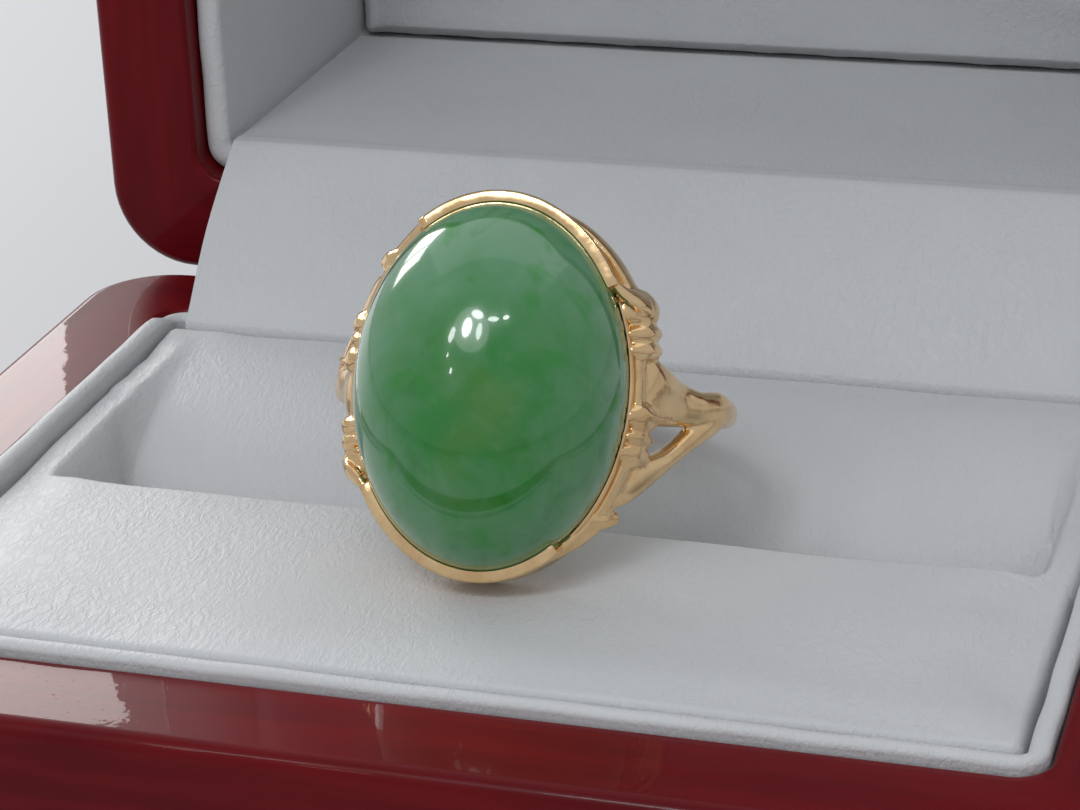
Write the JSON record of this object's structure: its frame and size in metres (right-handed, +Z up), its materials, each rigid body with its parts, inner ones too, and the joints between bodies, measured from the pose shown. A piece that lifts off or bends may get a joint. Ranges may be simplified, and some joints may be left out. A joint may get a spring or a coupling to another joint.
{
  "type": "ring box",
  "caption": "Lacquered wooden ring box, its sprung lid open, lined in pale leatherette, with a slotted pad holding a gold ring with a domed oval green stone.",
  "frame": {"origin": "centre of the base's underside, on the felt", "axes": "+X is the width, to the right seen from the front; +Y runs from the front to the hinges; +Z is up"},
  "size_m": [0.0624, 0.0751, 0.0731],
  "materials": {
    "lacquered_wood": "high-gloss cherry red lacquer",
    "leatherette": "pale grey-white, fine grain, satin",
    "card": "plain board",
    "foam": "matt",
    "felt": "matt",
    "hinge_brass": "satin",
    "spring_steel": "bright wire",
    "gold": "polished yellow gold",
    "jade": "polished, mottled green"
  },
  "bodies": {
    "base": {"base_front_rail": "lacquered_wood", "base_rear_rail": "lacquered_wood", "base_left_rail": "lacquered_wood", "base_right_rail": "lacquered_wood", "base_bottom_panel": "lacquered_wood", "base_felt": "felt", "base_liner_front": "leatherette", "base_liner_rear": "leatherette", "base_liner_left": "leatherette", "base_liner_right": "leatherette", "pad_board": "card", "pad_foam": "foam", "pad_cover": "leatherette", "hinge_flap": "leatherette", "hinge_leaf_base_left": "hinge_brass", "hinge_leaf_base_right": "hinge_brass", "hinge_pin_left": "hinge_brass", "hinge_pin_right": "hinge_brass", "hinge_spring_left": "spring_steel", "hinge_spring_right": "spring_steel", "base_hinge_screws": "hinge_brass"},
    "lid": {"lid_front_rail": "lacquered_wood", "lid_rear_rail": "lacquered_wood", "lid_left_rail": "lacquered_wood", "lid_right_rail": "lacquered_wood", "lid_top_panel": "lacquered_wood", "lid_liner_front": "leatherette", "lid_liner_rear": "leatherette", "lid_liner_left": "leatherette", "lid_liner_right": "leatherette", "lid_pad_board": "card", "lid_pad_foam": "foam", "lid_pad_cover": "leatherette", "hinge_leaf_lid_left": "hinge_brass", "hinge_leaf_lid_right": "hinge_brass", "lid_hinge_screws": "hinge_brass"},
    "ring": {"ring_shank": "gold", "ring_bezel": "gold", "ring_claws": "gold", "jade_cabochon": "jade"}
  },
  "joints": [
    {"name": "lid_hinge", "type": "hinge", "parent": "base", "child": "lid", "pos_m": [0, 0.024, 0.0251], "axis": [1, 0, 0], "range_deg": [0, 90], "deforming": ["hinge_flap", "hinge_spring_left", "hinge_spring_right"]},
    {"name": "ring_lift", "type": "slide", "parent": "base", "child": "ring", "axis": [0, 0, -1], "range_m": [-0.004, 0]}
  ]
}
